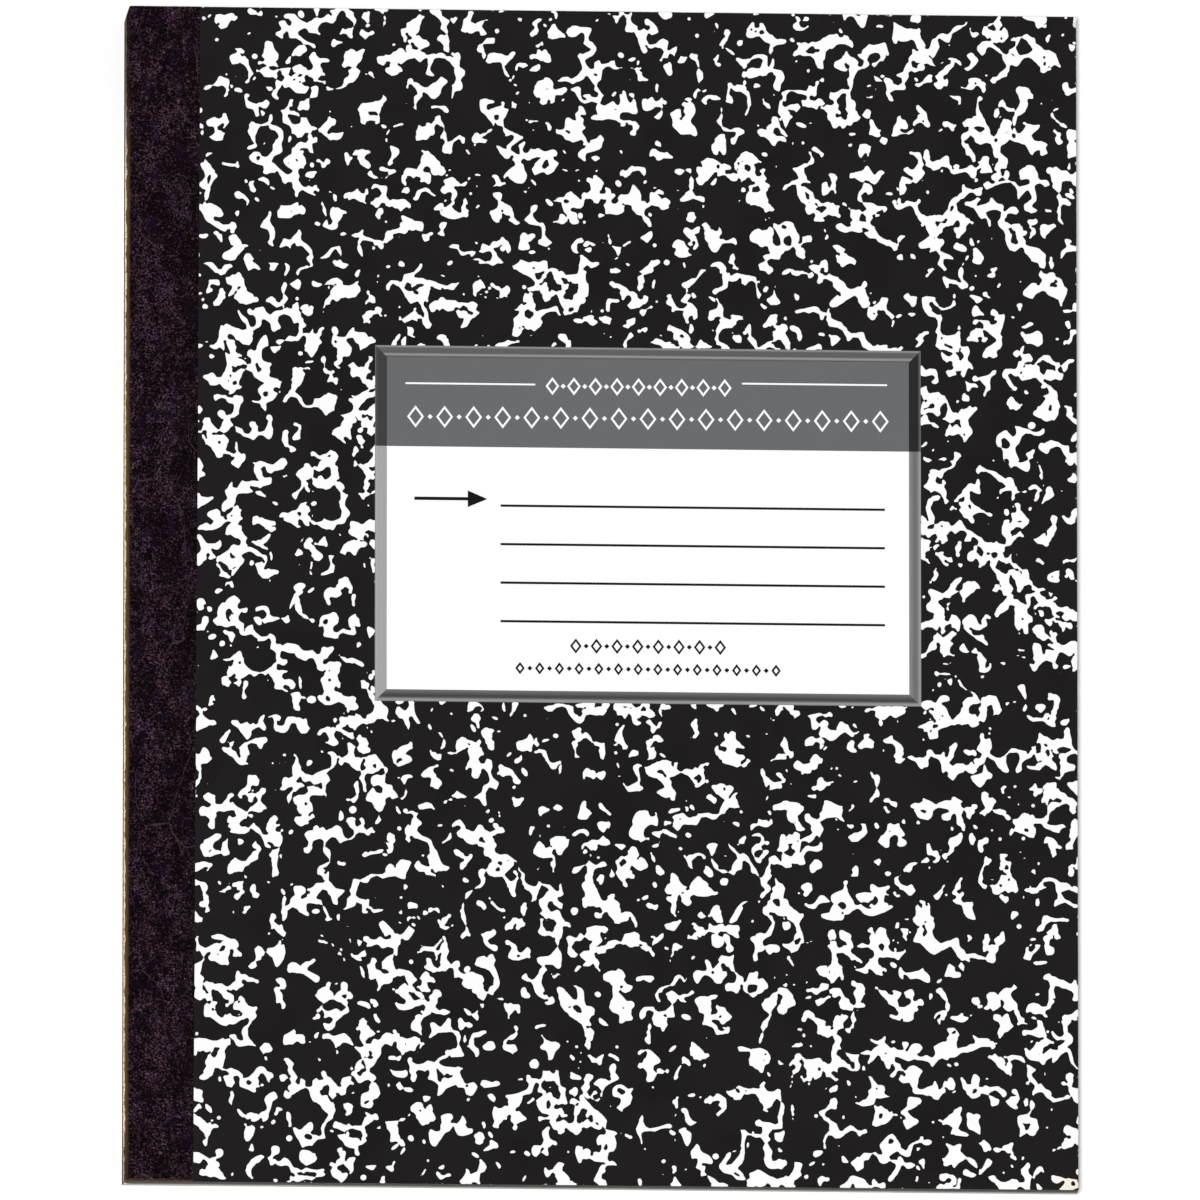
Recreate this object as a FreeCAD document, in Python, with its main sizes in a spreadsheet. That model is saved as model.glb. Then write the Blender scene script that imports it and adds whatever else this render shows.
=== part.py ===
import FreeCAD, Part
import math
import os
import Sketcher

# A composition notebook that lies on its back cover. Millimetres.
# X runs from the spine (-X) to the fore edge (+X), Y from the tail (-Y) to the head (+Y), Z up.
# The origin is the middle of the footprint, on the surface that the notebook lies on.

# Each size that can be set by itself: its name, its value and what it measures.
SIZES = [
    ("cover_width", 203.2, "closed notebook, spine tape to fore edge"),
    ("cover_height", 254.0, "closed notebook, tail to head"),
    ("board_thickness", 0.85, "one cover board with its printed paper"),
    ("leaf_thickness", 0.075, "one leaf of writing paper"),
    ("leaf_count", 48, "leaves in the sewn block"),
    ("page_clearance", 0.1, "between the leaves and each board"),
    ("tape_thickness", 0.2, "cloth tape with its glue"),
    ("tape_sink", 0.05, "how far the tape is pressed into a board"),
    ("tape_width_head", 15.9, "tape on a cover, measured from the spine, at the head"),
    ("tape_width_tail", 14.8, "the same at the tail, where the strip was cut narrower"),
    ("tape_fold_radius", 0.15, "outside of the tape where it turns onto a cover"),
    ("worn_corner_width", 0.85, "worn corner at the head of the spine, along the head"),
    ("worn_corner_length", 2.6, "the same corner, along the spine"),
    ("thread_diameter", 0.3, "sewing thread"),
    ("thread_clearance", 0.05, "between the thread and what is beside it"),
    ("stitch_pitch", 6.35, "from one stitch to the next"),
    ("stitch_length", 5.2, "part of a stitch that lies outside the fold"),
    ("stitch_margin", 6.0, "unsewn length at the head and at the tail, at least"),
    ("label_width", 116.5, "name label, rim included"),
    ("label_height", 77.0, "name label, rim included"),
    ("label_right", 10.0, "middle of the label, from the middle of the cover towards the fore edge"),
    ("label_up", 15.5, "middle of the label, from the middle of the cover towards the head"),
    ("label_thickness", 0.06, "paper of the label"),
    ("rim_width", 2.55, "bevelled rim of the label"),
    ("rim_height", 0.09, "rim above the label's paper"),
    ("rim_outer_bevel", 0.5, "slope on the outside of the rim, seen from above"),
    ("rim_inner_bevel", 0.75, "slope on the inside of the rim, seen from above"),
    ("ink_thickness", 0.03, "a field of colour on the label"),
    ("header_height", 19.3, "grey field at the top of the label"),
    ("header_line_width", 0.38, "thin white lines in the header"),
    ("left_line_inset", 6.5, "left line's outer end, from the label's left edge"),
    ("left_line_drop", 8.2, "left line, below the label's top edge"),
    ("right_line_inset", 7.2, "right line's outer end, from the label's right edge"),
    ("right_line_drop", 7.5, "right line, below the label's top edge"),
    ("line_gap", 2.2, "between each of these lines and the band of lozenges"),
    ("rule_width", 0.5, "thickness of a line to write on"),
    ("rule_left_inset", 26.8, "left end of these lines, from the label's left edge"),
    ("rule_right_inset", 7.7, "their right end, from the label's right edge"),
    ("first_rule_gap", 12.65, "first of them, below the header"),
    ("last_rule_gap", 5.21, "last of them, above the middle of the upper foot band"),
    ("rule_count", 4, "lines to write on"),
    ("ornament_stroke", 0.42, "drawn line of an open lozenge"),
    ("ornament_dot", 1.1, "small lozenge between two open ones"),
    ("upper_band_drop", 8.5, "header's upper band of lozenges, below the label's top edge"),
    ("upper_band_height", 3.9, "its lozenges"),
    ("upper_band_pitch", 4.6, "from one of its lozenges to the next"),
    ("upper_band_inset", 38.0, "bare length on each side of the label, at least"),
    ("upper_band_shift", 2.0, "its middle, from the label's middle towards the spine"),
    ("lower_band_drop", 15.4, "header's lower band of lozenges, below the label's top edge"),
    ("lower_band_height", 4.8, "its lozenges"),
    ("lower_band_pitch", 6.2, "from one of its lozenges to the next"),
    ("lower_band_inset", 6.7, "bare length on each side of the label, at least"),
    ("upper_foot_rise", 12.3, "upper black band under the lines, above the label's bottom edge"),
    ("upper_foot_height", 3.3, "its lozenges"),
    ("upper_foot_pitch", 4.4, "from one of its lozenges to the next"),
    ("upper_foot_inset", 41.0, "bare length on each side of the label, at least"),
    ("lower_foot_rise", 7.4, "lower black band under the lines, above the label's bottom edge"),
    ("lower_foot_height", 2.7, "its lozenges"),
    ("lower_foot_pitch", 4.2, "from one of its lozenges to the next"),
    ("lower_foot_inset", 29.5, "bare length on each side of the label, at least"),
    ("pointer_inset", 8.4, "pointer's tail, from the label's left edge"),
    ("pointer_gap", 2.8, "between the pointer's tip and the first line's end"),
    ("pointer_rise", 1.4, "pointer, above the first line"),
    ("pointer_head_length", 4.2, "solid tip of the pointer"),
    ("pointer_head_height", 3.6, "solid tip of the pointer"),
    ("pointer_stem_width", 0.7, "stem of the pointer"),
]

# The points of a line or an arc in a sketch
START = 1
END = 2
CENTRE = 3

# The width of a lozenge for its height
LOZENGE_SHAPE = 0.75

# Places that several pieces share, as expressions of the sizes
SPINE = "(-Sizes.cover_width / 2)"
FORE_EDGE = "(Sizes.cover_width / 2)"
TAIL = "(-Sizes.cover_height / 2)"
HEAD = "(Sizes.cover_height / 2)"
INSIDE_OF_TAPE = "(-Sizes.cover_width / 2 + Sizes.tape_thickness)"
TAPE_EDGE_HEAD = "(-Sizes.cover_width / 2 + Sizes.tape_width_head)"
TAPE_EDGE_TAIL = "(-Sizes.cover_width / 2 + Sizes.tape_width_tail)"
BLOCK_THICKNESS = "(Sizes.leaf_count * Sizes.leaf_thickness)"
THREAD_ROOM = "(Sizes.thread_diameter + 2 * Sizes.thread_clearance)"

# Heights above a cover's fold line, the line that it hinges on. The back cover's run downwards.
BOARD_INNER = "(Sizes.page_clearance / 2)"
BOARD_OUTER = "(Sizes.page_clearance / 2 + Sizes.board_thickness)"
TAPE_INNER = "(Sizes.page_clearance / 2 + Sizes.board_thickness - Sizes.tape_sink)"
TAPE_OUTER = "(%s + Sizes.tape_thickness)" % TAPE_INNER

# Heights above the surface that the notebook lies on
BACK_FOLD = TAPE_OUTER
FRONT_FOLD = "(%s + Sizes.page_clearance + %s)" % (BACK_FOLD, BLOCK_THICKNESS)
PAGES_LEVEL = "(%s + Sizes.page_clearance / 2)" % BACK_FOLD
LABEL_LEVEL = "(%s + %s)" % (FRONT_FOLD, BOARD_OUTER)
INK_LEVEL = "(%s + Sizes.label_thickness)" % LABEL_LEVEL

# Heights above the label's middle, towards the head
FIRST_RULE = "(Sizes.label_height / 2 - Sizes.rim_width - Sizes.header_height - Sizes.first_rule_gap)"
LAST_RULE = "(Sizes.upper_foot_rise + Sizes.last_rule_gap - Sizes.label_height / 2)"
RULE_SPACING = "((%s - %s) / max(Sizes.rule_count - 1; 1))" % (FIRST_RULE, LAST_RULE)

doc = FreeCAD.newDocument("Notebook")


def fill_sheet():
    """Writes the sizes into the sheet that every piece is bound to."""
    sheet = doc.addObject("Spreadsheet::Sheet", "Sizes")
    for row, (name, value, meaning) in enumerate(SIZES, start=1):
        sheet.set("A%d" % row, name)
        sheet.set("B%d" % row, str(value))
        sheet.set("C%d" % row, meaning)
        sheet.setAlias("B%d" % row, name)
    doc.recompute()
    return sheet


def number(expression):
    """The value that an expression of the sizes has now."""
    return float(sheet.evalExpression(expression.replace("Sizes.", "")))


def size(name):
    return float(sheet.get(name))


def new_body(label, level="0", right="0", up="0"):
    """An empty body in its place."""
    body = doc.addObject("PartDesign::Body", label)
    body.Label = label
    body.setExpression("Placement.Base.x", right)
    body.setExpression("Placement.Base.y", up)
    body.setExpression("Placement.Base.z", level)
    return body


def new_sketch(body, name, role="XY_Plane", offset="0"):
    """An empty sketch on one of the body's own origin planes, or that far along the plane's normal."""
    sketch = body.newObject("Sketcher::SketchObject", "%s_%s" % (body.Name, name))
    planes = [plane for plane in body.Origin.OriginFeatures if plane.Role == role]
    sketch.AttachmentSupport = [(planes[0], "")]
    sketch.MapMode = "FlatFace"
    sketch.setExpression("AttachmentOffset.Base.z", offset)
    return sketch


def tie(sketch, kind, line, point, expression):
    """Ties the X or Y of one point of a sketch to an expression."""
    index = sketch.addConstraint(Sketcher.Constraint(kind, line, point, number(expression)))
    name = "%s_%d_%d" % (kind, line, point)
    sketch.renameConstraint(index, name)
    sketch.setExpression("Constraints." + name, expression)


def tie_point(sketch, line, point, place):
    tie(sketch, "DistanceX", line, point, place[0])
    tie(sketch, "DistanceY", line, point, place[1])


def draw_outline(sketch, corners):
    """Draws a closed outline of straight lines whose corners are pairs of expressions."""
    places = [FreeCAD.Vector(number(x), number(y), 0) for x, y in corners]
    first = sketch.GeometryCount
    count = len(corners)
    for index in range(count):
        sketch.addGeometry(Part.LineSegment(places[index], places[(index + 1) % count]), False)
    for index in range(count):
        following = first + (index + 1) % count
        sketch.addConstraint(Sketcher.Constraint("Coincident", first + index, END, following, START))
        tie_point(sketch, first + index, START, corners[index])


def rectangle(left, bottom, right, top):
    return [(left, bottom), (right, bottom), (right, top), (left, top)]


def centred_rectangle(half_width, half_height):
    return rectangle("-(%s)" % half_width, "-(%s)" % half_height, half_width, half_height)


def add_pad(body, sketch, length, downwards=False, taper=None):
    """Raises a sketch into a solid, with leaning sides if a taper is given."""
    pad = body.newObject("PartDesign::Pad", sketch.Name + "_pad")
    pad.Profile = sketch
    pad.Reversed = downwards
    pad.setExpression("Length", length)
    if taper:
        pad.setExpression("TaperAngle", taper)
    doc.recompute()
    return pad


def add_pocket(body, sketch, depth=None, upwards=False, taper=None):
    """Cuts a sketch out of a body, right through if no depth is given."""
    volume = body.Shape.Volume
    pocket = body.newObject("PartDesign::Pocket", sketch.Name + "_pocket")
    pocket.Profile = sketch
    pocket.Reversed = upwards
    if depth:
        pocket.setExpression("Length", depth)
    else:
        pocket.Type = "ThroughAll"
        pocket.SideType = "Symmetric"
    if taper:
        pocket.setExpression("TaperAngle", taper)
    doc.recompute()
    if not body.Shape.Volume < volume:
        raise RuntimeError(pocket.Name + " cuts nothing")
    return pocket


def wear_corner(body):
    """Cuts the worn corner at the head of the spine off a body that is drawn about the notebook's middle."""
    left = "%s - Sizes.worn_corner_width" % SPINE
    right = "%s + 2 * Sizes.worn_corner_width" % SPINE
    bottom = "%s - 2 * Sizes.worn_corner_length" % HEAD
    top = "%s + Sizes.worn_corner_length" % HEAD
    sketch = new_sketch(body, "worn_corner")
    draw_outline(sketch, [(left, bottom), (right, top), (left, top)])
    add_pocket(body, sketch)


def outwards(height, side):
    """A height above a fold line: up for the front cover, whose side is 1, and down for the back, -1."""
    return "%d * %s" % (side, height)


def make_board(label, fold, side):
    """A cover board, with the shallow bed that the tape is pressed into."""
    body = new_body(label, level=fold)
    outline = new_sketch(body, "outline", offset=outwards(BOARD_INNER, side))
    draw_outline(outline, rectangle(INSIDE_OF_TAPE, TAIL, FORE_EDGE, HEAD))
    add_pad(body, outline, "Sizes.board_thickness", downwards=side < 0)
    bed = new_sketch(body, "tape_bed", offset=outwards(BOARD_OUTER, side))
    draw_outline(bed, tape_outline(INSIDE_OF_TAPE))
    add_pocket(body, bed, "Sizes.tape_sink", upwards=side < 0)
    wear_corner(body)
    return body


def tape_outline(spine_edge):
    """The tape on a cover, seen from above: a long strip that narrows towards the tail."""
    return [(spine_edge, TAIL), (TAPE_EDGE_TAIL, TAIL), (TAPE_EDGE_HEAD, HEAD), (spine_edge, HEAD)]


def make_tape_flap(label, fold, side):
    """The part of the tape that turns with a cover: over the board's spine edge and onto its outside."""
    body = new_body(label, level=fold)
    edge = new_sketch(body, "edge")
    draw_outline(edge, rectangle(SPINE, TAIL, INSIDE_OF_TAPE, HEAD))
    add_pad(body, edge, TAPE_OUTER, downwards=side < 0)
    flap = new_sketch(body, "flap", offset=outwards(TAPE_INNER, side))
    draw_outline(flap, tape_outline(SPINE))
    pad = add_pad(body, flap, "Sizes.tape_thickness", downwards=side < 0)
    round_tape_fold(body, pad, side)
    wear_corner(body)
    return body


def round_tape_fold(body, base, side):
    """Rounds the long outer edge where the tape turns from the spine onto a cover."""
    spine = number(SPINE)
    outside = side * number(TAPE_OUTER)
    names = []
    for index, edge in enumerate(base.Shape.Edges, start=1):
        box = edge.BoundBox
        along_spine = abs(box.XMin - spine) < 1e-6 and abs(box.XMax - spine) < 1e-6
        at_outside = abs(box.ZMin - outside) < 1e-6 and abs(box.ZMax - outside) < 1e-6
        if along_spine and at_outside:
            names.append("Edge%d" % index)
    fillet = body.newObject("PartDesign::Fillet", body.Name + "_fold")
    fillet.Base = (base, names)
    fillet.setExpression("Radius", "min(Sizes.tape_fold_radius; 0.9 * Sizes.tape_thickness)")
    doc.recompute()


def make_tape_web():
    """The part of the tape that stays with the pages, between the two fold lines."""
    body = new_body("tape_spine_web", level=BACK_FOLD)
    outline = new_sketch(body, "outline")
    draw_outline(outline, rectangle(SPINE, TAIL, INSIDE_OF_TAPE, HEAD))
    add_pad(body, outline, "%s + Sizes.page_clearance" % BLOCK_THICKNESS)
    wear_corner(body)
    return body


def make_page_block():
    """The leaves, folded together: round along the spine and trimmed flat on the other three sides."""
    body = new_body("page_block", level=PAGES_LEVEL)
    sketch = new_sketch(body, "section", role="XZ_Plane")
    radius = "(%s / 2)" % BLOCK_THICKNESS
    middle = "(%s + %s + %s)" % (INSIDE_OF_TAPE, THREAD_ROOM, radius)
    corners = [(middle, "0"), (FORE_EDGE, "0"), (FORE_EDGE, BLOCK_THICKNESS), (middle, BLOCK_THICKNESS)]
    places = [FreeCAD.Vector(number(x), number(y), 0) for x, y in corners]
    for index in range(3):
        sketch.addGeometry(Part.LineSegment(places[index], places[index + 1]), False)
    centre = FreeCAD.Vector(number(middle), number(radius), 0)
    circle = Part.Circle(centre, FreeCAD.Vector(0, 0, 1), number(radius))
    sketch.addGeometry(Part.ArcOfCircle(circle, math.pi / 2, 3 * math.pi / 2), False)
    for index in range(3):
        sketch.addConstraint(Sketcher.Constraint("Coincident", index, END, index + 1, START))
    sketch.addConstraint(Sketcher.Constraint("Coincident", 3, END, 0, START))
    for index in range(3):
        tie_point(sketch, index, START, corners[index])
    tie_point(sketch, 2, END, corners[3])
    tie(sketch, "DistanceX", 3, CENTRE, middle)
    pad = add_pad(body, sketch, "Sizes.cover_height")
    pad.SideType = "Symmetric"
    doc.recompute()
    wear_corner(body)
    return body


def make_thread():
    """The stitches that lie outside the fold, as separate short runs of thread."""
    radius = size("thread_diameter") / 2
    length = size("stitch_length")
    pitch = size("stitch_pitch")
    sewn = size("cover_height") - 2 * size("stitch_margin")
    count = int((sewn - length) / pitch) + 1
    first = -((count - 1) * pitch + length) / 2
    along = FreeCAD.Vector(0, 1, 0)
    stitches = []
    for index in range(count):
        start = FreeCAD.Vector(0, first + index * pitch, 0)
        stitches.append(Part.makeCylinder(radius, length, start, along))
    thread = doc.addObject("Part::Feature", "binding_thread")
    thread.Label = "binding_thread"
    thread.Shape = Part.makeCompound(stitches)
    thread.setExpression("Placement.Base.x", "%s + %s / 2" % (INSIDE_OF_TAPE, THREAD_ROOM))
    thread.setExpression("Placement.Base.z", "%s + %s / 2" % (PAGES_LEVEL, BLOCK_THICKNESS))
    return thread


def make_label_paper():
    body = new_body("name_label", LABEL_LEVEL, "Sizes.label_right", "Sizes.label_up")
    outline = new_sketch(body, "outline")
    draw_outline(outline, centred_rectangle("Sizes.label_width / 2", "Sizes.label_height / 2"))
    add_pad(body, outline, "Sizes.label_thickness")
    return body


def make_label_rim():
    """The low frame round the label, with a slope on its outside and a wider one on its inside."""
    body = new_body("label_rim", INK_LEVEL, "Sizes.label_right", "Sizes.label_up")
    outer = new_sketch(body, "outer")
    draw_outline(outer, centred_rectangle("Sizes.label_width / 2", "Sizes.label_height / 2"))
    add_pad(body, outer, "Sizes.rim_height", taper="-atan(Sizes.rim_outer_bevel / Sizes.rim_height)")
    inner = new_sketch(body, "inner", offset="Sizes.rim_height")
    draw_outline(
        inner,
        centred_rectangle(
            "Sizes.label_width / 2 - Sizes.rim_width + Sizes.rim_inner_bevel",
            "Sizes.label_height / 2 - Sizes.rim_width + Sizes.rim_inner_bevel",
        ),
    )
    slope = "-atan(Sizes.rim_inner_bevel / Sizes.rim_height)"
    add_pocket(body, inner, "Sizes.rim_height", taper=slope)
    return body


def make_box(name, left, bottom, width, height):
    """A field of colour on the label: its left and bottom edges from the label's middle, and its size."""
    box = doc.addObject("Part::Box", name)
    box.Label = name
    box.setExpression("Length", width)
    box.setExpression("Width", height)
    box.setExpression("Height", "Sizes.ink_thickness")
    box.setExpression("Placement.Base.x", "Sizes.label_right + %s" % left)
    box.setExpression("Placement.Base.y", "Sizes.label_up + %s" % bottom)
    box.setExpression("Placement.Base.z", INK_LEVEL)
    return box


def make_label_header():
    left = "(Sizes.rim_width - Sizes.label_width / 2)"
    bottom = "(Sizes.label_height / 2 - Sizes.rim_width - Sizes.header_height)"
    width = "Sizes.label_width - 2 * Sizes.rim_width"
    return make_box("label_header", left, bottom, width, "Sizes.header_height")


def make_label_rules():
    """The lines to write on, one under the other."""
    left = "(Sizes.rule_left_inset - Sizes.label_width / 2)"
    length = "Sizes.label_width - Sizes.rule_left_inset - Sizes.rule_right_inset"
    rules = []
    for index in range(int(size("rule_count"))):
        bottom = "(%s - %d * %s - Sizes.rule_width / 2)" % (FIRST_RULE, index, RULE_SPACING)
        rules.append(make_box("rule_%d" % (index + 1), left, bottom, length, "Sizes.rule_width"))
    group = doc.addObject("Part::Compound", "label_rules")
    group.Label = "label_rules"
    group.Links = rules
    return group


def raised(corners):
    """A flat field with the thickness of the ink, from its corners."""
    ring = [FreeCAD.Vector(x, y, 0) for x, y in corners + corners[:1]]
    face = Part.Face(Part.makePolygon(ring))
    return face.extrude(FreeCAD.Vector(0, 0, size("ink_thickness")))


def lozenge_corners(x, y, half_width, half_height):
    return [(x - half_width, y), (x, y - half_height), (x + half_width, y), (x, y + half_height)]


def open_lozenge(x, y, height):
    """A lozenge drawn in outline."""
    half_height = height / 2
    half_width = LOZENGE_SHAPE * half_height
    slant = math.hypot(half_width, half_height) / (half_width * half_height)
    inside = 1 - size("ornament_stroke") * slant
    whole = raised(lozenge_corners(x, y, half_width, half_height))
    return whole.cut(raised(lozenge_corners(x, y, inside * half_width, inside * half_height)))


def band_places(band, middle=0):
    """Where the lozenges of a band stand across the label: as many as its insets leave room for."""
    pitch = size(band + "_pitch")
    room = size("label_width") - 2 * size(band + "_inset") - LOZENGE_SHAPE * size(band + "_height")
    steps = max(int(room / pitch), 0)
    return [middle + (index - steps / 2) * pitch for index in range(steps + 1)]


def lozenge_band(band, y, middle=0):
    """A row of open lozenges with a small solid one between each two."""
    pitch = size(band + "_pitch")
    half_dot = size("ornament_dot") / 2
    places = band_places(band, middle)
    shapes = []
    for index, x in enumerate(places):
        shapes.append(open_lozenge(x, y, size(band + "_height")))
        if index < len(places) - 1:
            shapes.append(raised(lozenge_corners(x + pitch / 2, y, half_dot, half_dot)))
    return shapes


def flat_bar(left, y, length, width):
    half = width / 2
    return raised([(left, y - half), (left + length, y - half), (left + length, y + half), (left, y + half)])


def header_shapes():
    """The header's two bands of lozenges, and a thin line on each side of the upper one."""
    half_width = size("label_width") / 2
    top = size("label_height") / 2
    thin = size("header_line_width")
    middle = -size("upper_band_shift")
    places = band_places("upper_band", middle)
    room = size("line_gap") + LOZENGE_SHAPE * size("upper_band_height") / 2
    left_start = size("left_line_inset") - half_width
    left_end = places[0] - room
    right_start = places[-1] + room
    right_end = half_width - size("right_line_inset")
    lines = [
        flat_bar(left_start, top - size("left_line_drop"), left_end - left_start, thin),
        flat_bar(right_start, top - size("right_line_drop"), right_end - right_start, thin),
    ]
    upper = lozenge_band("upper_band", top - size("upper_band_drop"), middle)
    lower = lozenge_band("lower_band", top - size("lower_band_drop"))
    return lines + upper + lower


def pointer():
    """A plain arrow in front of the first line, in one piece."""
    left_edge = -size("label_width") / 2
    tail = left_edge + size("pointer_inset")
    tip = left_edge + size("rule_left_inset") - size("pointer_gap")
    neck = tip - size("pointer_head_length")
    y = number(FIRST_RULE) + size("pointer_rise")
    stem = size("pointer_stem_width") / 2
    head = size("pointer_head_height") / 2
    return raised([
        (tail, y - stem), (neck, y - stem), (neck, y - head), (tip, y),
        (neck, y + head), (neck, y + stem), (tail, y + stem),
    ])


def black_marks():
    """The pointer, and two bands of lozenges under the lines to write on."""
    bottom = -size("label_height") / 2
    upper = lozenge_band("upper_foot", bottom + size("upper_foot_rise"))
    lower = lozenge_band("lower_foot", bottom + size("lower_foot_rise"))
    return [pointer()] + upper + lower


def make_ornament(label, shapes, level):
    """A group of flat shapes in one colour, placed on the label."""
    group = doc.addObject("Part::Feature", label)
    group.Label = label
    group.Shape = Part.makeCompound(shapes)
    group.setExpression("Placement.Base.x", "Sizes.label_right")
    group.setExpression("Placement.Base.y", "Sizes.label_up")
    group.setExpression("Placement.Base.z", level)
    return group


def check_model(pieces):
    """Stops if any object failed or any piece isn't a sound solid."""
    for item in doc.Objects:
        if "Invalid" in item.State or "Error" in item.State:
            raise RuntimeError("%s is in state %s" % (item.Label, item.State))
    for piece in pieces:
        if piece.Shape.isNull() or not piece.Shape.isValid() or not piece.Shape.Solids:
            raise RuntimeError("%s has no sound solid" % piece.Label)


def write_pieces(pieces):
    os.makedirs("parts", exist_ok=True)
    for piece in pieces:
        piece.Shape.exportStep("parts/%s.step" % piece.Label)
        box = piece.Shape.BoundBox
        print("%-16s %3d solids %11.3f mm3  z %.3f to %.3f" % (
            piece.Label, len(piece.Shape.Solids), piece.Shape.Volume, box.ZMin, box.ZMax))


sheet = fill_sheet()
pieces = [
    make_page_block(),
    make_thread(),
    make_tape_web(),
    make_board("front_board", FRONT_FOLD, 1),
    make_tape_flap("tape_front_flap", FRONT_FOLD, 1),
    make_board("back_board", BACK_FOLD, -1),
    make_tape_flap("tape_back_flap", BACK_FOLD, -1),
    make_label_paper(),
    make_label_rim(),
    make_label_header(),
    make_label_rules(),
    make_ornament("header_ornament", header_shapes(), "%s + Sizes.ink_thickness" % INK_LEVEL),
    make_ornament("label_marks", black_marks(), INK_LEVEL),
]
doc.recompute()
check_model(pieces)
write_pieces(pieces)
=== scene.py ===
"""Looks of the composition notebook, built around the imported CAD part.

Lengths are in millimetres until they are multiplied by MM, which gives the metres that Blender works in.
"""

import math

import bpy
import numpy as np
from mathutils import Matrix, Vector, geometry


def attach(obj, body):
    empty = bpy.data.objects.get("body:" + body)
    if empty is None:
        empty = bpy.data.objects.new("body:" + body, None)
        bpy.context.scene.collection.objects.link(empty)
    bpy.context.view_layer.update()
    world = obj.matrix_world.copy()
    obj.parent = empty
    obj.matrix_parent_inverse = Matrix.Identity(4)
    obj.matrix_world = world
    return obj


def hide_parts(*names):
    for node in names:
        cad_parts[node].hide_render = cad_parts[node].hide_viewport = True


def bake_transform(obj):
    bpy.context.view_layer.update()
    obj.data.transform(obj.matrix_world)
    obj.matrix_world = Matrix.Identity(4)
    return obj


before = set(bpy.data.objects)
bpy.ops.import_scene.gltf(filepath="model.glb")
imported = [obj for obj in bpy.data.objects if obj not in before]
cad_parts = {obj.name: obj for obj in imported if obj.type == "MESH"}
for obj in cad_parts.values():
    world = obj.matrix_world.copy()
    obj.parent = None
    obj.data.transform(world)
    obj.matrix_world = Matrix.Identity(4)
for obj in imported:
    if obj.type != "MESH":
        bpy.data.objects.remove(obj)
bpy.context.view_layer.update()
bpy.context.scene.view_settings.view_transform = "Standard"

MM = 0.001

# Sizes that the looks share with the CAD part
SPINE = -101.6
FORE_EDGE = 101.6
TAIL = -127.0
HEAD = 127.0
MIDDLE_LEVEL = 2.9
FRONT_BOARD_TOP = 5.65
BACK_BOARD_BOTTOM = 0.15
BLOCK_TOP = 4.7
BLOCK_BOTTOM = 1.1
BLOCK_FOLD_CENTRE = -99.2
LEAF = 0.075
STITCH_PITCH = 6.35
TAPE_THICKNESS = 0.2
TAPE_FOLD_RADIUS = 0.15
TAPE_EDGE_HEAD = -85.7
TAPE_EDGE_TAIL = -86.8
# Distances above and below the middle level
TAPE_OUTSIDE = 2.9
TAPE_INSIDE = 2.7
# Worn corner at the head of the spine
WORN_WIDTH = 0.85
WORN_LENGTH = 2.6
LABEL_MIDDLE = (10.0, 15.5)
LABEL_SIZE = (116.5, 77.0)
RIM_WIDTH = 2.55
HEADER_HEIGHT = 19.3


def worn_head(x):
    """How far towards the head the notebook reaches at x, with its worn corner at the spine."""
    return min(HEAD, HEAD - WORN_LENGTH + (x - SPINE) * WORN_LENGTH / WORN_WIDTH)


def tape_edge(y):
    """The tape's edge on a cover, which lies nearer to the spine at the tail."""
    share = (y - TAIL) / (HEAD - TAIL)
    return TAPE_EDGE_TAIL + share * (TAPE_EDGE_HEAD - TAPE_EDGE_TAIL)


def add_piece(name, mesh, material, body=None):
    """A visible piece of the object that rides on a body, or is left unattached."""
    piece = bpy.data.objects.new(name, mesh)
    bpy.context.scene.collection.objects.link(piece)
    mesh.materials.append(material)
    if body:
        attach(piece, body)
    return piece


# Materials


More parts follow.
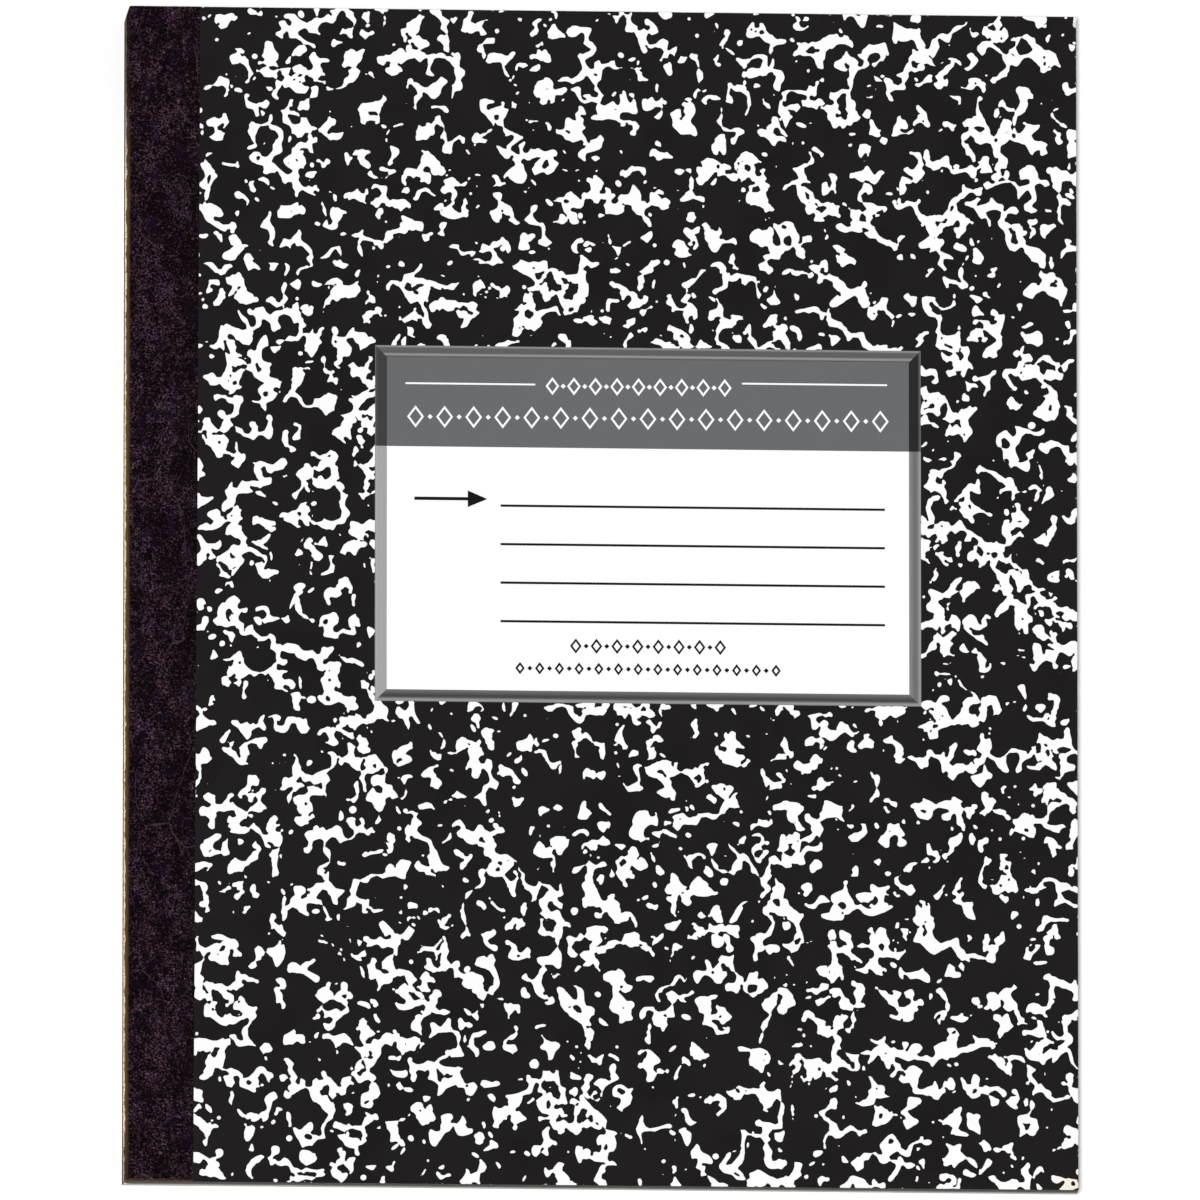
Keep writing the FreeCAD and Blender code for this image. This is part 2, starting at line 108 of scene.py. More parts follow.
class Surface:
    """A node material being put together. Lengths are in millimetres, colours are linear."""

    def __init__(self, name, place="Object"):
        self.material = bpy.data.materials.new(name)
        self.material.use_nodes = True
        self.tree = self.material.node_tree
        self.tree.nodes.clear()
        self.shader = self.tree.nodes.new("ShaderNodeBsdfPrincipled")
        output = self.tree.nodes.new("ShaderNodeOutputMaterial")
        self.tree.links.new(self.shader.outputs["BSDF"], output.inputs["Surface"])
        if place == "Object":
            self.place = self.tree.nodes.new("ShaderNodeTexCoord").outputs["Object"]
        else:
            source = self.tree.nodes.new("ShaderNodeAttribute")
            source.attribute_name = place
            self.place = source.outputs["Vector"]
        self.axes = self.millimetres()

    def feed(self, socket, value):
        """Joins a node's output to a socket, or sets the socket to a constant."""
        if isinstance(value, bpy.types.NodeSocket):
            self.tree.links.new(value, socket)
        else:
            socket.default_value = value

    def finish(self, colour, roughness, gloss):
        """Sets the shader's colour, roughness and gloss."""
        self.feed(self.shader.inputs["Base Color"], colour)
        self.feed(self.shader.inputs["Roughness"], roughness)
        self.feed(self.shader.inputs["Specular IOR Level"], gloss)

    def millimetres(self):
        """The place as three values in millimetres."""
        scale = self.tree.nodes.new("ShaderNodeVectorMath")
        scale.operation = "SCALE"
        self.feed(scale.inputs["Vector"], self.place)
        scale.inputs["Scale"].default_value = 1 / MM
        parts = self.tree.nodes.new("ShaderNodeSeparateXYZ")
        self.tree.links.new(scale.outputs["Vector"], parts.inputs["Vector"])
        return parts.outputs["X"], parts.outputs["Y"], parts.outputs["Z"]

    def math(self, operation, a, b=0.0):
        node = self.tree.nodes.new("ShaderNodeMath")
        node.operation = operation
        self.feed(node.inputs[0], a)
        self.feed(node.inputs[1], b)
        return node.outputs[0]

    def total(self, a, b):
        return self.math("ADD", a, b)

    def less(self, a, b):
        return self.math("SUBTRACT", a, b)

    def product(self, a, b):
        return self.math("MULTIPLY", a, b)

    def size(self, value):
        return self.math("ABSOLUTE", value)

    def step(self, value, low, high):
        """0 below low, 1 above high, smooth between. low may be above high, for the reverse."""
        node = self.tree.nodes.new("ShaderNodeMapRange")
        node.interpolation_type = "SMOOTHSTEP"
        self.feed(node.inputs["Value"], value)
        falls = low > high
        node.inputs["From Min"].default_value = min(low, high)
        node.inputs["From Max"].default_value = max(low, high)
        node.inputs["To Min"].default_value = 1.0 if falls else 0.0
        node.inputs["To Max"].default_value = 0.0 if falls else 1.0
        return node.outputs["Result"]

    def span(self, value, low, high):
        """The value's range from 0 to 1 made to run from low to high."""
        node = self.tree.nodes.new("ShaderNodeMapRange")
        self.feed(node.inputs["Value"], value)
        node.inputs["To Min"].default_value = low
        node.inputs["To Max"].default_value = high
        return node.outputs["Result"]

    def stretched(self, stretch):
        """The place, drawn out along the axes."""
        node = self.tree.nodes.new("ShaderNodeVectorMath")
        node.operation = "DIVIDE"
        self.feed(node.inputs[0], self.place)
        node.inputs[1].default_value = stretch
        return node.outputs["Vector"]

    def noise(self, size_mm, detail=2.0, roughness=0.5, stretch=None):
        """Random values about 0.5 that change over a size."""
        node = self.tree.nodes.new("ShaderNodeTexNoise")
        self.feed(node.inputs["Vector"], self.stretched(stretch) if stretch else self.place)
        node.inputs["Scale"].default_value = 1 / (size_mm * MM)
        node.inputs["Detail"].default_value = detail
        node.inputs["Roughness"].default_value = roughness
        return node.outputs["Fac"]

    def hairs(self, size_mm, width_mm, stretch, wander_mm):
        """1 on thin wandering lines, the borders between drawn-out cells."""
        bend = self.tree.nodes.new("ShaderNodeTexNoise")
        self.feed(bend.inputs["Vector"], self.place)
        bend.inputs["Scale"].default_value = 1 / (size_mm * MM)
        shift = self.tree.nodes.new("ShaderNodeVectorMath")
        shift.operation = "SCALE"
        self.tree.links.new(bend.outputs["Color"], shift.inputs["Vector"])
        shift.inputs["Scale"].default_value = wander_mm * MM
        moved = self.tree.nodes.new("ShaderNodeVectorMath")
        self.feed(moved.inputs[0], self.stretched(stretch))
        self.tree.links.new(shift.outputs["Vector"], moved.inputs[1])
        cells = self.tree.nodes.new("ShaderNodeTexVoronoi")
        cells.feature = "DISTANCE_TO_EDGE"
        self.tree.links.new(moved.outputs["Vector"], cells.inputs["Vector"])
        cells.inputs["Scale"].default_value = 1 / (size_mm * MM)
        return self.step(cells.outputs["Distance"], width_mm / size_mm, 0.0)

    def weave(self, pitch_mm):
        """Height of a plain weave, by the threads that run along X and along Y."""
        turn = 2 * math.pi / pitch_mm
        along = self.math("SINE", self.product(self.axes[0], turn))
        across = self.math("SINE", self.product(self.axes[1], turn))
        return self.product(along, across)

    def mix(self, a, b, factor):
        """The first colour at a factor of 0, the second at 1."""
        node = self.tree.nodes.new("ShaderNodeMix")
        node.data_type = "RGBA"
        self.feed(node.inputs[0], factor)
        self.feed(node.inputs[6], rgba(a))
        self.feed(node.inputs[7], rgba(b))
        return node.outputs[2]

    def ramp(self, value, stops):
        """Grey levels along a value that runs from 0 to 1."""
        node = self.tree.nodes.new("ShaderNodeValToRGB")
        elements = node.color_ramp.elements
        elements[0].position, elements[0].color = stops[0][0], rgba(grey(stops[0][1]))
        elements[1].position, elements[1].color = stops[-1][0], rgba(grey(stops[-1][1]))
        for position, level in stops[1:-1]:
            elements.new(position).color = rgba(grey(level))
        self.feed(node.inputs["Fac"], value)
        return node.outputs["Color"]

    def bump(self, height, depth_mm, strength):
        """Adds relief. A second call adds to the first."""
        node = self.tree.nodes.new("ShaderNodeBump")
        node.inputs["Strength"].default_value = strength
        node.inputs["Distance"].default_value = depth_mm * MM
        self.feed(node.inputs["Height"], height)
        normal = self.shader.inputs["Normal"]
        if normal.is_linked:
            self.tree.links.new(normal.links[0].from_socket, node.inputs["Normal"])
        self.tree.links.new(node.outputs["Normal"], normal)


def linear(value):
    """The linear level of an 8-bit screen value."""
    share = value / 255
    return share / 12.92 if share <= 0.04045 else ((share + 0.055) / 1.055) ** 2.4


def screen(red, green, blue):
    """A linear colour from its 8-bit screen values."""
    return linear(red), linear(green), linear(blue)


def grey(value):
    return screen(value, value, value)


def rgba(colour):
    return (*colour, 1.0) if isinstance(colour, tuple) else colour


# Gloss of each surface. It is low on print and cloth, because the photo shows hardly any
PRINT_GLOSS = 0.1
CLOTH_GLOSS = 0.04
PAGE_GLOSS = 0.3
THREAD_GLOSS = 0.5


def print_finish(surface, colour, grain, roughest):
    """Colour, gloss and fine relief of printed paper. Returns the finished material."""
    surface.finish(colour, surface.span(grain, 0.6, roughest), PRINT_GLOSS)
    surface.bump(grain, 0.01, 0.5)
    return surface.material


def from_corner(surface, x, y):
    """Distance in millimetres from a point of the cover."""
    across = surface.math("POWER", surface.less(surface.axes[0], x), 2.0)
    along = surface.math("POWER", surface.less(surface.axes[1], y), 2.0)
    return surface.math("SQRT", surface.total(across, along))


def cover_border(surface):
    """Distance in millimetres from the nearest of the three open edges of a cover."""
    across = surface.less(FORE_EDGE, surface.axes[0])
    along = surface.less(HEAD, surface.size(surface.axes[1]))
    return surface.math("MINIMUM", across, along)


# Distances from the middle level over which a board's cut edge turns into its print and its lining
PRINTED_SIDE = (2.66, 2.70)
LINED_SIDE = (1.95, 1.92)
# Distances from the places of the stain, the rubbed border and the chip over which they fade
STAIN_X = 98.0
STAIN = (5.0, 1.0)
RUBBED_BORDER = (0.35, 0.05)
CHIP_Y = HEAD - 1.7
CHIP = (0.8, 0.55)
BLACK_INK = (screen(20, 16, 18), screen(27, 24, 25))
CLOUDED_INK = screen(19, 16, 17)
STAINED_INK = screen(38, 26, 14)
# The front board's cut edge is painted darker than the back board's: painted shade on the same grey board
FRONT_CUT_PAINTED_SHADE = (screen(40, 38, 37), screen(70, 67, 64))
BACK_CUT = (screen(158, 155, 149), screen(186, 183, 176))
LINING = (screen(222, 219, 210), screen(232, 229, 221))
BARED_BOARD = screen(226, 224, 219)


def board_material():
    """Black printed paper outside, grey board at the cut edges with painted shade on the front board's, pale
    lining inside.
    """
    surface = Surface("printed_board")
    height = surface.size(surface.less(surface.axes[2], MIDDLE_LEVEL))
    outside = surface.step(height, *PRINTED_SIDE)
    inside = surface.step(height, *LINED_SIDE)
    grain = surface.noise(0.5, detail=4.0)
    ink = surface.mix(*BLACK_INK, grain)
    ink = surface.mix(ink, CLOUDED_INK, surface.step(surface.noise(14.0), 0.45, 0.7))
    stain = surface.step(from_corner(surface, STAIN_X, TAIL), *STAIN)
    ink = surface.mix(ink, STAINED_INK, surface.product(stain, 0.5))
    fibre = surface.noise(0.35, detail=3.0, stretch=(6.0, 6.0, 1.0))
    in_back = surface.math("LESS_THAN", surface.axes[2], MIDDLE_LEVEL)
    # Painted shade: the front board's cut edge takes the darker grey, the back board's the paler one
    edge = surface.mix(surface.mix(*FRONT_CUT_PAINTED_SHADE, fibre), surface.mix(*BACK_CUT, fibre), in_back)
    lining = surface.mix(*LINING, surface.noise(3.0, detail=5.0))
    colour = surface.mix(edge, lining, inside)
    colour = surface.mix(colour, ink, outside)
    rubbed = surface.step(surface.noise(1.1, detail=3.0), 0.66, 0.72)
    rubbed = surface.product(rubbed, surface.step(cover_border(surface), *RUBBED_BORDER))
    chip = surface.step(from_corner(surface, FORE_EDGE, CHIP_Y), *CHIP)
    bared = surface.product(surface.math("MAXIMUM", rubbed, chip), outside)
    surface.finish(surface.mix(colour, BARED_BOARD, bared), surface.span(grain, 0.62, 0.78), PRINT_GLOSS)
    surface.bump(grain, 0.012, 0.5)
    surface.bump(surface.noise(9.0), 0.05, 0.4)
    return surface.material


PRINT_WHITE = (screen(249, 249, 249), screen(252, 252, 252))
CREAM_STAIN = screen(240, 226, 208)
CREAM_REACH = (7.0, 1.0)


def marble_material():
    """The white of the marbled print, a little yellowed at the tail by the fore edge."""
    surface = Surface("marble_print")
    grain = surface.noise(0.6, detail=4.0)
    white = surface.mix(*PRINT_WHITE, grain)
    ragged = surface.span(surface.noise(5.0), -2.0, 2.0)
    reach = surface.total(from_corner(surface, FORE_EDGE, TAIL), ragged)
    stain = surface.product(surface.step(reach, *CREAM_REACH), 0.7)
    return print_finish(surface, surface.mix(white, CREAM_STAIN, stain), grain, 0.75)


TAPE_CENTRE = -95.0
CLOTH_GROUND = screen(8, 1, 5)
CLOTH_SPECKLES = (screen(94, 68, 76), screen(88, 66, 90))
CLOTH_WARM = screen(28, 15, 14)
CLOTH_COLD = screen(30, 16, 46)
CLOTH_SIDES = screen(8, 3, 6)
CLOTH_HAIR = screen(92, 72, 82)
CLOTH_LINT = screen(92, 62, 78)
CLOTH_POINTS = screen(128, 92, 112)


def tape_colour(surface):
    """Purple-black cloth, speckled in clusters, with pale points and a few lighter hairs."""
    fine = surface.noise(0.42, detail=1.0, roughness=0.6)
    coarse = surface.noise(1.4, detail=3.0, roughness=0.7)
    speckle = surface.total(surface.product(fine, 0.66), surface.product(coarse, 0.34))
    clusters = surface.step(surface.noise(3.6, detail=2.0, stretch=(1.0, 1.7, 1.0)), 0.36, 0.62)
    shown = surface.step(surface.total(speckle, surface.span(clusters, -0.06, 0.02)), 0.46, 0.76)
    hue = surface.step(surface.noise(0.9, detail=2.0), 0.4, 0.6)
    colour = surface.mix(CLOTH_GROUND, surface.mix(*CLOTH_SPECKLES, hue), shown)
    warm = surface.step(surface.noise(5.0, detail=3.0), 0.5, 0.72)
    cold = surface.step(surface.noise(3.2, detail=2.0, stretch=(1.0, 1.6, 1.0)), 0.54, 0.74)
    sides = surface.step(surface.size(surface.less(surface.axes[0], TAPE_CENTRE)), 2.0, 7.5)
    hair = surface.product(surface.hairs(11.0, 0.1, (1.0, 2.4, 1.0), 3.0),
                           surface.step(surface.noise(7.0), 0.47, 0.58))
    lint = surface.product(surface.hairs(2.6, 0.09, (1.0, 1.3, 1.0), 1.6),
                           surface.step(surface.noise(1.6), 0.5, 0.62))
    points = surface.step(surface.noise(0.6, detail=0.0), 0.74, 0.84)
    layers = ((CLOTH_WARM, warm, 0.3), (CLOTH_COLD, cold, 0.3), (CLOTH_SIDES, sides, 0.35),
              (CLOTH_HAIR, hair, 0.42), (CLOTH_LINT, lint, 0.34),
              (CLOTH_POINTS, points, surface.span(clusters, 0.2, 0.6)))
    for layer, where, share in layers:
        colour = surface.mix(colour, layer, surface.product(where, share))
    return colour, speckle


# Places across the tape over which the rubbed line with its painted highlight, the bared threads and the
# spine side with its painted light begin
RUBBED_LINE_AND_HIGHLIGHT = (-100.25, -101.1)
BARED_THREADS = (-101.28, -101.4)
SPINE_SIDE_PAINTED_LIGHT = (-101.4, -101.55)
STITCHED_SIDE = (-101.3, -101.5)
# Distances from the middle level over which the fold's wear begins
WORN_FOLD = (1.4, 2.2)
# A height and its mirror image add up to this, which makes the worn strip wider by the front cover
WEAR_MIRROR = -0.6
# Places along the tape over which the wear fades, and the brown line at the tail begins
FADE_TO_HEAD = (112.0, 84.0)
FADE_TO_TAIL = (-125.0, -112.0)
TAIL_LINE = (-126.4, -126.8)
# The rubbed brown line is partly wear and partly a painted highlight where the fold's round catches light
RUBBED_BROWN_AND_HIGHLIGHT = (screen(56, 36, 16), screen(112, 84, 54))
TAIL_BROWN = screen(100, 68, 44)
# The bared threads' second colour, on the spine side, is painted light that lifts the shaded side face
BARED_CLOTH_AND_PAINTED_LIGHT = (screen(228, 211, 186), screen(246, 234, 210))
THREAD_SHADE = screen(190, 166, 130)


def fold_wear(surface, colour):
    """The same colour with the fold's rubbed brown line, partly a painted highlight, and the pale fringe of
    bared threads, with painted light on the spine side.
    """
    ragged = surface.noise(0.8, detail=4.0, stretch=(1.0, 2.5, 1.0))
    x = surface.total(surface.axes[0], surface.span(ragged, -0.45, 0.45))
    height = surface.less(surface.axes[2], MIDDLE_LEVEL)
    height = surface.math("MAXIMUM", height, surface.less(WEAR_MIRROR, height))
    threads = surface.noise(0.45, detail=3.0, roughness=0.6, stretch=(1.0, 1.0, 4.0))
    by_fold = surface.step(surface.total(height, surface.span(threads, -1.1, 1.1)), *WORN_FOLD)
    off_head = surface.span(surface.step(surface.axes[1], *FADE_TO_HEAD), 0.12, 1.0)
    off_tail = surface.span(surface.step(surface.axes[1], *FADE_TO_TAIL), 0.5, 1.0)
    worn = surface.product(by_fold, surface.product(off_head, off_tail))
    # Rubbed wear along the fold, partly a painted highlight where the round of the fold catches light
    rubbed = surface.product(surface.step(x, *RUBBED_LINE_AND_HIGHLIGHT), worn)
    colour = surface.mix(colour, surface.mix(*RUBBED_BROWN_AND_HIGHLIGHT, ragged), rubbed)
    y = surface.total(surface.axes[1], surface.span(ragged, -0.5, 0.5))
    colour = surface.mix(colour, TAIL_BROWN, surface.product(surface.step(y, *TAIL_LINE), 0.5))
    # Painted light: the bared threads are paler on the spine's side face
    bared = surface.mix(*BARED_CLOTH_AND_PAINTED_LIGHT, surface.step(surface.axes[0], *SPINE_SIDE_PAINTED_LIGHT))
    bared = surface.mix(bared, THREAD_SHADE, surface.step(threads, 0.52, 0.4))
    return surface.mix(colour, bared, surface.product(surface.step(x, *BARED_THREADS), worn))


def tape_material():
    """Woven cloth that is rubbed at the fold, with a painted highlight and painted light there, and the
    stitches' relief on the spine.
    """
    surface = Surface("cloth_tape", place="rest_place")
    colour, speckle = tape_colour(surface)
    surface.finish(fold_wear(surface, colour), surface.span(speckle, 0.9, 0.62), CLOTH_GLOSS)
    surface.bump(speckle, 0.05, 0.6)
    surface.bump(surface.weave(0.42), 0.02, 0.5)
    stitch = surface.math("SINE", surface.product(surface.axes[1], 2 * math.pi / STITCH_PITCH))
    on_spine = surface.step(surface.axes[0], *STITCHED_SIDE)
    surface.bump(surface.product(stitch, on_spine), 0.05, 0.6)
    return surface.material


# Where the leaves' cut edges begin: across, along, at the tail, where they carry painted shade, and by level
# from the top leaf down, over which that painted shade lightens
CUT_ACROSS = (101.2, 101.45)
CUT_ALONG = (126.6, 126.85)
CUT_AT_TAIL = (TAIL + 0.4, TAIL + 0.2)
TOP_TO_BOTTOM = (3.7, 1.2)
PAPER = (screen(236, 234, 226), screen(243, 241, 234))
CLEAN_CUT = (screen(206, 203, 194), screen(236, 234, 226))
# Painted shade on the cut edges at the tail: darkest at the top leaves, greyer lower down
PAINTED_SHADE_TOP_CUT = (screen(62, 61, 58), screen(92, 90, 86))
PAINTED_SHADE_LOW_CUT = (screen(126, 124, 119), screen(152, 149, 143))


def page_material():
    """Writing paper. The cut edges differ leaf by leaf, and carry painted shade at the tail, darkest at the
    top leaves.
    """
    surface = Surface("writing_paper")
    mottle = surface.noise(2.2, detail=5.0)
    attribute = surface.tree.nodes.new("ShaderNodeAttribute")
    attribute.attribute_name = "leaf_tone"
    leaf = attribute.outputs["Fac"]
    rim = surface.math("MAXIMUM", surface.step(surface.axes[0], *CUT_ACROSS),
                       surface.step(surface.size(surface.axes[1]), *CUT_ALONG))
    # Painted shade on the tail's cut edges, lightening from the top leaves down
    painted_shade_fading_down = surface.step(surface.axes[2], *TOP_TO_BOTTOM)
    tail_painted_shade = surface.mix(surface.mix(*PAINTED_SHADE_TOP_CUT, leaf), surface.mix(*PAINTED_SHADE_LOW_CUT, leaf), painted_shade_fading_down)
    at_tail = surface.step(surface.axes[1], *CUT_AT_TAIL)
    cut = surface.mix(surface.mix(*CLEAN_CUT, leaf), tail_painted_shade, at_tail)
    colour = surface.mix(surface.mix(*PAPER, mottle), cut, rim)
    surface.finish(colour, surface.span(mottle, 0.75, 0.9), PAGE_GLOSS)
    surface.bump(surface.noise(0.4, detail=4.0), 0.01, 0.5)
    surface.bump(surface.noise(30.0), 0.2, 0.3)
    return surface.material


def line_material(name, colour):
    """Pale printed line on writing paper."""
    surface = Surface(name)
    ink = surface.noise(0.5, detail=3.0)
    faded = tuple(min(1.0, 1.25 * level) for level in colour)
    surface.finish(surface.mix(colour, faded, ink), surface.span(ink, 0.75, 0.9), PAGE_GLOSS)
    return surface.material


THREAD = (screen(206, 201, 188), screen(232, 228, 218))
TWIST_PER_MM = 22.0


def thread_material():
    """Pale twisted sewing thread."""
    surface = Surface("sewing_thread")
    along = surface.total(surface.axes[1], surface.axes[2])
    twist = surface.math("SINE", surface.product(along, TWIST_PER_MM))
    colour = surface.mix(*THREAD, surface.noise(0.3, detail=3.0))
    surface.finish(colour, surface.span(surface.noise(0.6), 0.6, 0.8), THREAD_GLOSS)
    surface.bump(twist, 0.03, 0.8)
    return surface.material


LABEL_WHITE = (screen(250, 250, 250), screen(254, 254, 254))
LABEL_BLACK = (screen(6, 6, 6), screen(16, 15, 15))
HEADER_GREY = (screen(99, 100, 103), screen(107, 108, 111))


def label_white_material():
    surface = Surface("label_paper")
    grain = surface.noise(0.5, detail=4.0)
    return print_finish(surface, surface.mix(*LABEL_WHITE, grain), grain, 0.75)


def ink_material(name, dark, light):
    """A printed field with the faint mottle of ink on paper."""
    surface = Surface(name)
    grain = surface.noise(0.45, detail=4.0, roughness=0.6)
    mottle = surface.total(surface.product(grain, 0.6), surface.product(surface.noise(8.0), 0.4))
    return print_finish(surface, surface.mix(dark, light, mottle), grain, 0.76)


# Greys of the drawn bevel, from the rim's outer edge at 0 to its inner edge at 1
RIM_LEFT = ((0.0, 130), (0.1, 172), (0.3, 165), (1.0, 167))
RIM_LEFT_OF_HEADER = ((0.0, 110), (0.12, 70), (0.3, 61), (1.0, 62))
RIM_RIGHT = ((0.0, 150), (0.12, 156), (0.25, 124), (0.5, 106), (1.0, 138))
RIM_RIGHT_OF_HEADER = ((0.0, 112), (0.12, 90), (0.25, 36), (1.0, 34))
RIM_TOP = ((0.0, 120), (0.1, 152), (0.22, 96), (0.62, 93), (0.74, 146), (0.84, 140), (0.92, 89))
RIM_BOTTOM = ((0.0, 120), (0.1, 150), (0.2, 145), (0.34, 82), (0.5, 63), (0.95, 112))
RIM_SHADE = grey(20)


def rim_material():
    """The drawn bevel of the label: each side has the greys that a lit bevel would show."""
    surface = Surface("label_rim")
    half_wide, half_high = LABEL_SIZE[0] / 2, LABEL_SIZE[1] / 2
    x = surface.less(surface.axes[0], LABEL_MIDDLE[0])
    y = surface.less(surface.axes[1], LABEL_MIDDLE[1])
    left = surface.total(x, half_wide)
    right = surface.less(half_wide, x)
    top = surface.less(half_high, y)
    bottom = surface.total(y, half_high)
    beside_header = surface.math("LESS_THAN", top, RIM_WIDTH + HEADER_HEIGHT)

    def side(distance, stops):
        return surface.ramp(surface.product(distance, 1 / RIM_WIDTH), stops)

    left_colour = surface.mix(side(left, RIM_LEFT), side(left, RIM_LEFT_OF_HEADER), beside_header)
    right_colour = surface.mix(side(right, RIM_RIGHT), side(right, RIM_RIGHT_OF_HEADER), beside_header)
    across = surface.mix(left_colour, right_colour, surface.math("GREATER_THAN", x, 0.0))
    along = surface.mix(side(bottom, RIM_BOTTOM), side(top, RIM_TOP), surface.math("GREATER_THAN", y, 0.0))
    nearest_across = surface.math("MINIMUM", left, right)
    nearest_along = surface.math("MINIMUM", top, bottom)
    colour = surface.mix(along, across, surface.math("LESS_THAN", nearest_across, nearest_along))
    grain = surface.noise(0.5, detail=4.0)
    colour = surface.mix(colour, RIM_SHADE, surface.product(grain, 0.06))
    return print_finish(surface, colour, grain, 0.76)


# The marbled print: strokes along the borders of two nets of random cells, bent and roughened


# Grid pitch of the field that the print is cut from, and how far it runs past the cover
PITCH = 0.25
PADDING = 1.0
LARGE_CELL = 10.4
SMALL_CELL = 7.6
# In steps of a cell: the cells that are added round the grid, and how far a cell's point is felt
CELL_MARGIN = 2
CELL_REACH = 2.3
# Half width of the strokes, its most, and how much and over what length it changes
STROKE = 0.45
STROKE_MOST = 1.3
STROKE_CHANGE = 1.35
STROKE_WAVE = 9.6
# Slower changes, which make whole patches of the print denser or emptier
PATCH_SIZE = 15.0
PATCH_CHANGE = 0.4
# Bends, knobs and grit: the length of each wave, and how strong it is
WARP_WAVE = 7.0
WARP = 0.95
KNOB_WAVE = 3.6
KNOBS = 0.29
GRIT_WAVE = 1.4
GRIT = 0.14
WAVE_SPREAD = 0.4
# The most that the field may be above or below zero before the knobs are added, and its last softening
CLIP = 1.8
SOFTNESS = 0.2
WHITE_SHARE = 0.262
# Where more than this share of the print about a point is white, the strokes are thinned
CROWD_LIMIT = 0.6
CROWD_SIZE = 1.8
CROWD_EDGE = 0.1
CROWD_THINNING = 4.0
THINNING_ROUNDS = 3
SPECKS_PER_MM2 = 0.008
SPECK_RADIUS = 0.36
SPECK_SPREAD = 0.5
SPECK_SQUEEZE = 0.25
SPECK_REACH = 2.0
LARGEST_SPECK = 0.8
# How far the print stays off the tape and the board's edges, and how far it lies off the board
TAPE_MARGIN = 0.1
EDGE_MARGIN = 0.02
PRINT_GAP = 0.02
# How far a point of an outline may lie off a straight line that takes its place, and that line's most points
SIMPLIFY = 0.03
LONGEST_LINE = 8
MERGE_DISTANCE = 1e-6
ALL_TRIANGLES = 0
MAP_BORDER = 0.01
# Numbers for places past the grid's last square, for what is far off and for what is as good as nothing
JUST_INSIDE = 1.001
FAR_OFF = 1000.0
TINY = 1e-9


def frequencies(shape):
    """How often the waves of a grid repeat in a millimetre."""
    along = np.fft.fftfreq(shape[0], PITCH)[:, None]
    across = np.fft.rfftfreq(shape[1], PITCH)[None, :]
    return np.hypot(across, along)


def filtered(rng, shape, gain):
    """Random waves, each weighted by its frequency, with unit spread."""
    spectrum = np.fft.rfft2(rng.standard_normal(shape))
    field = np.fft.irfft2(spectrum * gain(frequencies(shape)), s=shape)
    return field / field.std()


def waves(rng, shape, wavelength):
    """Random waves whose lengths lie about one value."""
    def gain(frequency):
        apart = np.log(np.maximum(frequency, TINY) * wavelength)
        return np.exp(-0.5 * (apart / WAVE_SPREAD) ** 2)

    return filtered(rng, shape, gain)


def clouds(rng, shape, size):
    """Random changes that are slower than a size."""
    return filtered(rng, shape, lambda frequency: np.exp(-0.5 * (frequency * size) ** 2))


def softened(field, size):
    """The field blurred over a size."""
    gain = np.exp(-2 * (math.pi * frequencies(field.shape) * size) ** 2)
    return np.fft.irfft2(np.fft.rfft2(field) * gain, s=field.shape)


def window(centre, reach, count):
    """The first and last grid lines that lie within reach of a centre."""
    first = max(int((centre - reach) / PITCH), 0)
    last = min(int((centre + reach) / PITCH) + 2, count)
    return first, last


def stamp(fields, x, y, reach, change):
    """Changes the part of the fields that lies around a point, by the distance from it."""
    first_row, last_row = window(y, reach, fields[0].shape[0])
    first_column, last_column = window(x, reach, fields[0].shape[1])
    if first_row >= last_row or first_column >= last_column:
        return
    across = np.arange(first_column, last_column)[None, :] * PITCH - x
    along = np.arange(first_row, last_row)[:, None] * PITCH - y
    parts = [field[first_row:last_row, first_column:last_column] for field in fields]
    change(parts, across, along)


def to_cell_border(rng, shape, cell):
    """Half the difference of the distances to the two nearest of scattered points, 0 on a border."""
    nearest = np.full(shape, FAR_OFF)
    second = np.full(shape, FAR_OFF)

    def change(parts, across, along):
        distance = np.hypot(across, along)
        parts[1][:] = np.minimum(parts[1], np.maximum(parts[0], distance))
        parts[0][:] = np.minimum(parts[0], distance)

    last_row, last_column = (int(count * PITCH / cell) + CELL_MARGIN for count in shape)
    for row in range(-CELL_MARGIN, last_row + 1):
        for column in range(-CELL_MARGIN, last_column + 1):
            x, y = (np.array((column, row)) + rng.uniform(0, 1, 2)) * cell
            stamp((nearest, second), x, y, CELL_REACH * cell, change)
    return (second - nearest) / 2


def read_at(field, columns, rows):
    """The field at places between its grid points, given in grid steps and kept inside the grid."""
    rows = np.clip(rows, 0, field.shape[0] - JUST_INSIDE)
    columns = np.clip(columns, 0, field.shape[1] - JUST_INSIDE)
    r, c = rows.astype(int), columns.astype(int)
    fr, fc = rows - r, columns - c
    near = field[r, c] * (1 - fc) + field[r, c + 1] * fc
    far = field[r + 1, c] * (1 - fc) + field[r + 1, c + 1] * fc
    return near * (1 - fr) + far * fr


def warped(field, across, along):
    """The field read at places that are moved by two other fields."""
    rows, columns = np.mgrid[0:field.shape[0], 0:field.shape[1]].astype(float)
    return read_at(field, columns + across / PITCH, rows + along / PITCH)


def add_specks(rng, field):
    """Small white drops on their own."""
    high, wide = field.shape[0] * PITCH, field.shape[1] * PITCH
    for _ in range(int(SPECKS_PER_MM2 * wide * high)):
        radius = min(SPECK_RADIUS * math.exp(SPECK_SPREAD * rng.standard_normal()), LARGEST_SPECK)
        squeeze = math.exp(SPECK_SQUEEZE * rng.standard_normal())
        turn = rng.uniform(0, math.pi)

        def change(parts, across, along):
            u = (across * math.cos(turn) + along * math.sin(turn)) * squeeze
            v = (along * math.cos(turn) - across * math.sin(turn)) / squeeze
            parts[0][:] = np.maximum(parts[0], radius - np.hypot(u, v))

        stamp((field,), rng.uniform(0, wide), rng.uniform(0, high), SPECK_REACH, change)


